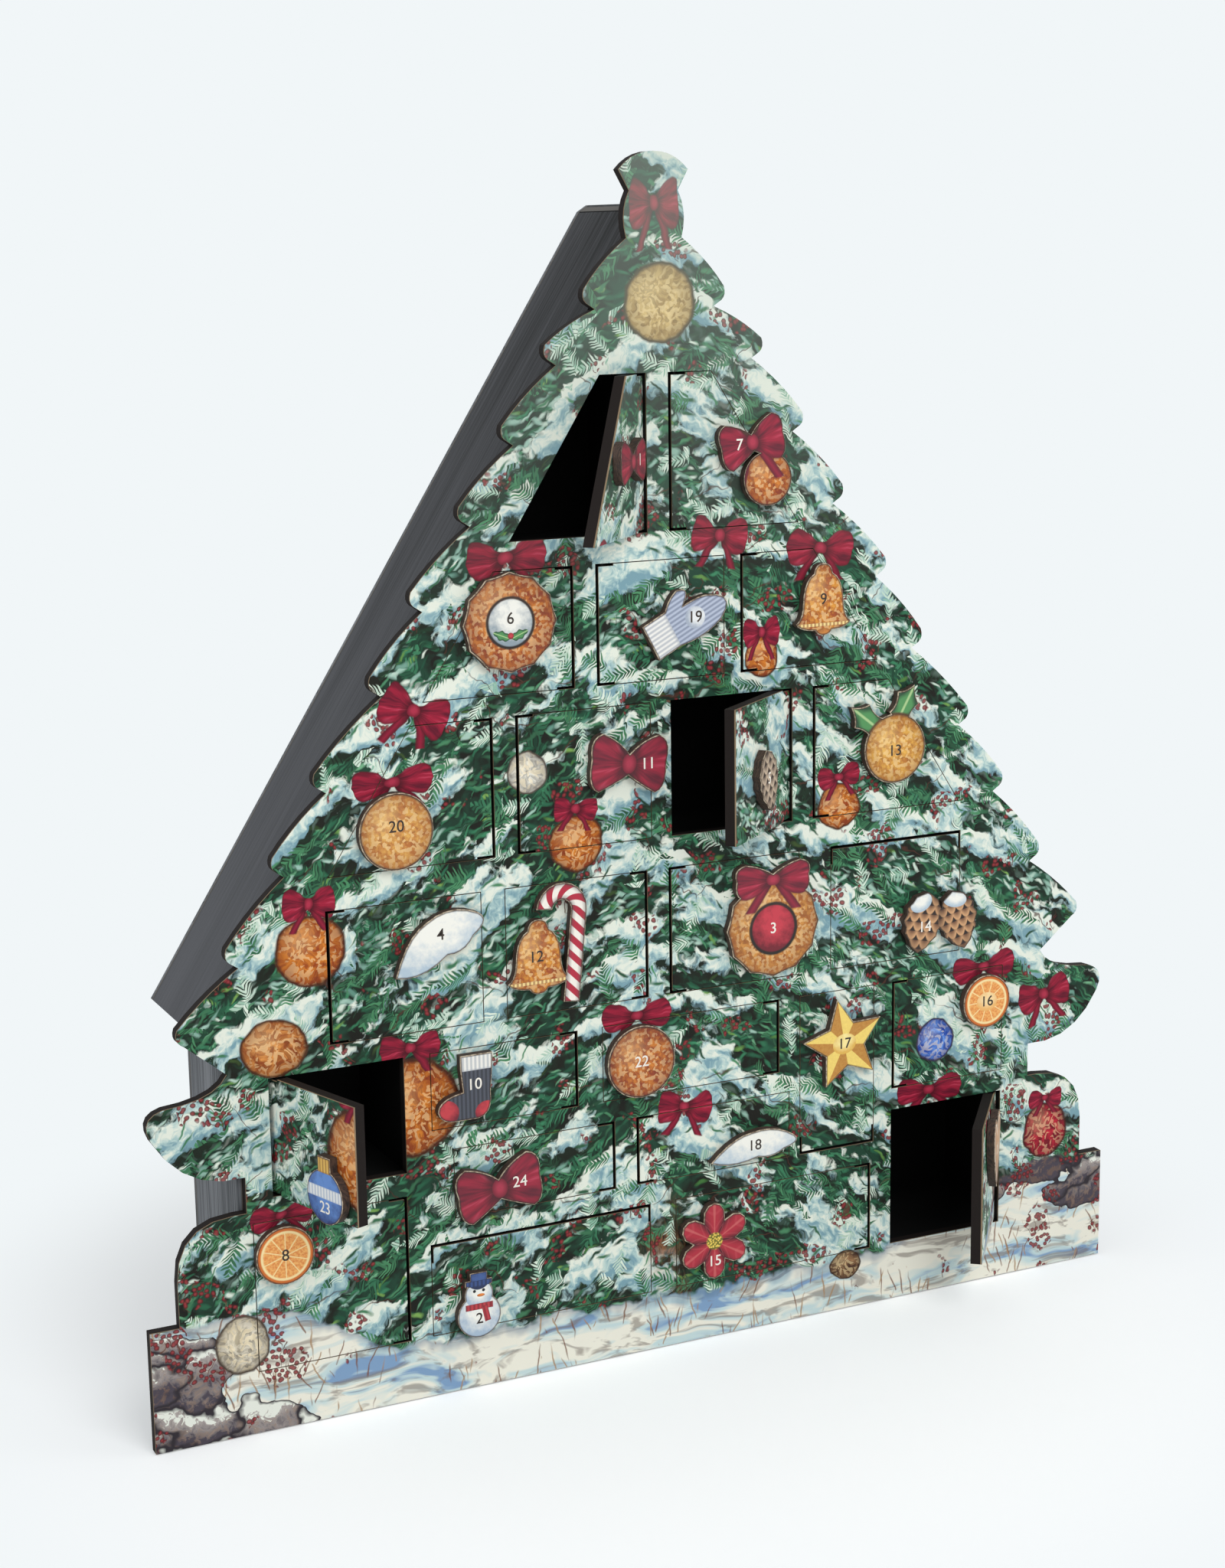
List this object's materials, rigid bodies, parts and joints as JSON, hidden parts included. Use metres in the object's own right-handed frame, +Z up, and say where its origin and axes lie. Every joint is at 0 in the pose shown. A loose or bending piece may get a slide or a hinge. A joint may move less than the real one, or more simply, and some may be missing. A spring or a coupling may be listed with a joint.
{
  "type": "advent calendar",
  "caption": "Fir-tree shaped wooden advent calendar: a printed tree board with hinged numbered doors on a deep peaked box of gift cells.",
  "frame": {"origin": "on the underside of the bottom board, on the centre line and halfway between the tree board's face and the back", "axes": "+X to the viewer's right, +Y from the tree board to the back, +Z up"},
  "size_m": [0.446, 0.1126, 0.495],
  "materials": {
    "tree_print": "satin printed picture of snowy fir boughs on a thin wooden board",
    "door_print": "satin printed picture that runs on across the doors",
    "stained_board": "charcoal stain over fine straight grain",
    "black_divider": "matt black",
    "red_ornament": "satin print in crimson",
    "gold_ornament": "satin print in speckled orange and gold",
    "white_ornament": "satin print in snow white with blue shade",
    "blue_ornament": "satin print in grey blue",
    "brown_ornament": "satin print in pine-cone brown"
  },
  "bodies": {
    "box": {"front_board": "tree_print", "back_board": "stained_board", "left_roof_board": "stained_board", "right_roof_board": "stained_board", "left_eave_board": "stained_board", "right_eave_board": "stained_board", "left_side_board": "stained_board", "right_side_board": "stained_board", "bottom_board": "stained_board", "upper_divider": "black_divider", "middle_divider": "black_divider", "lower_divider": "black_divider"},
    "leaf_01": {"door_01": "door_print", "ornament_01": "red_ornament"},
    "leaf_02": {"door_02": "door_print", "ornament_02": "white_ornament"},
    "leaf_03": {"door_03": "door_print", "ornament_03": "gold_ornament"},
    "leaf_04": {"door_04": "door_print", "ornament_04": "white_ornament"},
    "leaf_05": {"door_05": "door_print", "ornament_05": "brown_ornament"},
    "leaf_06": {"door_06": "door_print", "ornament_06": "gold_ornament"},
    "leaf_07": {"door_07": "door_print", "ornament_07": "red_ornament"},
    "leaf_08": {"door_08": "door_print", "ornament_08": "gold_ornament"},
    "leaf_09": {"door_09": "door_print", "ornament_09": "gold_ornament"},
    "leaf_10": {"door_10": "door_print", "ornament_10": "red_ornament"},
    "leaf_11": {"door_11": "door_print", "ornament_11": "red_ornament"},
    "leaf_12": {"door_12": "door_print", "ornament_12": "gold_ornament"},
    "leaf_13": {"door_13": "door_print", "ornament_13": "gold_ornament"},
    "leaf_14": {"door_14": "door_print", "ornament_14": "brown_ornament"},
    "leaf_15": {"door_15": "door_print", "ornament_15": "red_ornament"},
    "leaf_16": {"door_16": "door_print", "ornament_16": "gold_ornament"},
    "leaf_17": {"door_17": "door_print", "ornament_17": "gold_ornament"},
    "leaf_18": {"door_18": "door_print", "ornament_18": "white_ornament"},
    "leaf_19": {"door_19": "door_print", "ornament_19": "blue_ornament"},
    "leaf_20": {"door_20": "door_print", "ornament_20": "gold_ornament"},
    "leaf_21": {"door_21": "door_print", "ornament_21": "brown_ornament"},
    "leaf_22": {"door_22": "door_print", "ornament_22": "gold_ornament"},
    "leaf_23": {"door_23": "door_print", "ornament_23": "blue_ornament"},
    "leaf_24": {"door_24": "door_print", "ornament_24": "red_ornament"}
  },
  "joints": [
    {"name": "hinge_01", "type": "hinge", "parent": "box", "child": "leaf_01", "pos_m": [-0.0082, -0.03, 0.347], "axis": [0, 0, 1], "range_deg": [-45, 45]},
    {"name": "hinge_02", "type": "hinge", "parent": "box", "child": "leaf_02", "pos_m": [-0.106, -0.03, 0.0611], "axis": [-1, 0, 0], "range_deg": [0, 90]},
    {"name": "hinge_03", "type": "hinge", "parent": "box", "child": "leaf_03", "pos_m": [0.0072, -0.03, 0.155], "axis": [0, 0, -1], "range_deg": [0, 90]},
    {"name": "hinge_04", "type": "hinge", "parent": "box", "child": "leaf_04", "pos_m": [-0.1415, -0.03, 0.155], "axis": [0, 0, -1], "range_deg": [0, 90]},
    {"name": "hinge_05", "type": "hinge", "parent": "box", "child": "leaf_05", "pos_m": [0.0578, -0.03, 0.222], "axis": [0, 0, 1], "range_deg": [-38, 52]},
    {"name": "hinge_06", "type": "hinge", "parent": "box", "child": "leaf_06", "pos_m": [-0.0412, -0.03, 0.287], "axis": [0, 0, 1], "range_deg": [0, 90]},
    {"name": "hinge_07", "type": "hinge", "parent": "box", "child": "leaf_07", "pos_m": [0.0092, -0.03, 0.347], "axis": [0, 0, -1], "range_deg": [0, 90]},
    {"name": "hinge_08", "type": "hinge", "parent": "box", "child": "leaf_08", "pos_m": [-0.1192, -0.03, 0.0255], "axis": [0, 0, 1], "range_deg": [0, 90]},
    {"name": "hinge_09", "type": "hinge", "parent": "box", "child": "leaf_09", "pos_m": [0.0412, -0.03, 0.287], "axis": [0, 0, -1], "range_deg": [0, 90]},
    {"name": "hinge_10", "type": "hinge", "parent": "box", "child": "leaf_10", "pos_m": [-0.0429, -0.03, 0.113], "axis": [0, 0, 1], "range_deg": [0, 90]},
    {"name": "hinge_11", "type": "hinge", "parent": "box", "child": "leaf_11", "pos_m": [-0.0598, -0.03, 0.222], "axis": [0, 0, -1], "range_deg": [0, 90]},
    {"name": "hinge_12", "type": "hinge", "parent": "box", "child": "leaf_12", "pos_m": [-0.0102, -0.03, 0.155], "axis": [0, 0, 1], "range_deg": [0, 90]},
    {"name": "hinge_13", "type": "hinge", "parent": "box", "child": "leaf_13", "pos_m": [0.0752, -0.03, 0.222], "axis": [0, 0, -1], "range_deg": [0, 90]},
    {"name": "hinge_14", "type": "hinge", "parent": "box", "child": "leaf_14", "pos_m": [0.08, -0.03, 0.2051], "axis": [-1, 0, 0], "range_deg": [0, 90]},
    {"name": "hinge_15", "type": "hinge", "parent": "box", "child": "leaf_15", "pos_m": [0.0966, -0.03, 0.0255], "axis": [0, 0, 1], "range_deg": [0, 90]},
    {"name": "hinge_16", "type": "hinge", "parent": "box", "child": "leaf_16", "pos_m": [0.1148, -0.03, 0.097], "axis": [0, 0, -1], "range_deg": [0, 90]},
    {"name": "hinge_17", "type": "hinge", "parent": "box", "child": "leaf_17", "pos_m": [0.065, -0.03, 0.0783], "axis": [1, 0, 0], "range_deg": [0, 90]},
    {"name": "hinge_18", "type": "hinge", "parent": "box", "child": "leaf_18", "pos_m": [-0.009, -0.03, 0.0744], "axis": [0, 0, -1], "range_deg": [0, 90]},
    {"name": "hinge_19", "type": "hinge", "parent": "box", "child": "leaf_19", "pos_m": [-0.0238, -0.03, 0.287], "axis": [0, 0, -1], "range_deg": [0, 90]},
    {"name": "hinge_20", "type": "hinge", "parent": "box", "child": "leaf_20", "pos_m": [-0.0772, -0.03, 0.222], "axis": [0, 0, 1], "range_deg": [0, 90]},
    {"name": "hinge_21", "type": "hinge", "parent": "box", "child": "leaf_21", "pos_m": [0.1638, -0.03, 0.0255], "axis": [0, 0, 1], "range_deg": [-51, 39]},
    {"name": "hinge_22", "type": "hinge", "parent": "box", "child": "leaf_22", "pos_m": [0.0513, -0.03, 0.113], "axis": [0, 0, 1], "range_deg": [0, 90]},
    {"name": "hinge_23", "type": "hinge", "parent": "box", "child": "leaf_23", "pos_m": [-0.1673, -0.03, 0.097], "axis": [0, 0, -1], "range_deg": [-72, 18]},
    {"name": "hinge_24", "type": "hinge", "parent": "box", "child": "leaf_24", "pos_m": [-0.0265, -0.03, 0.0744], "axis": [0, 0, 1], "range_deg": [0, 90]}
  ]
}
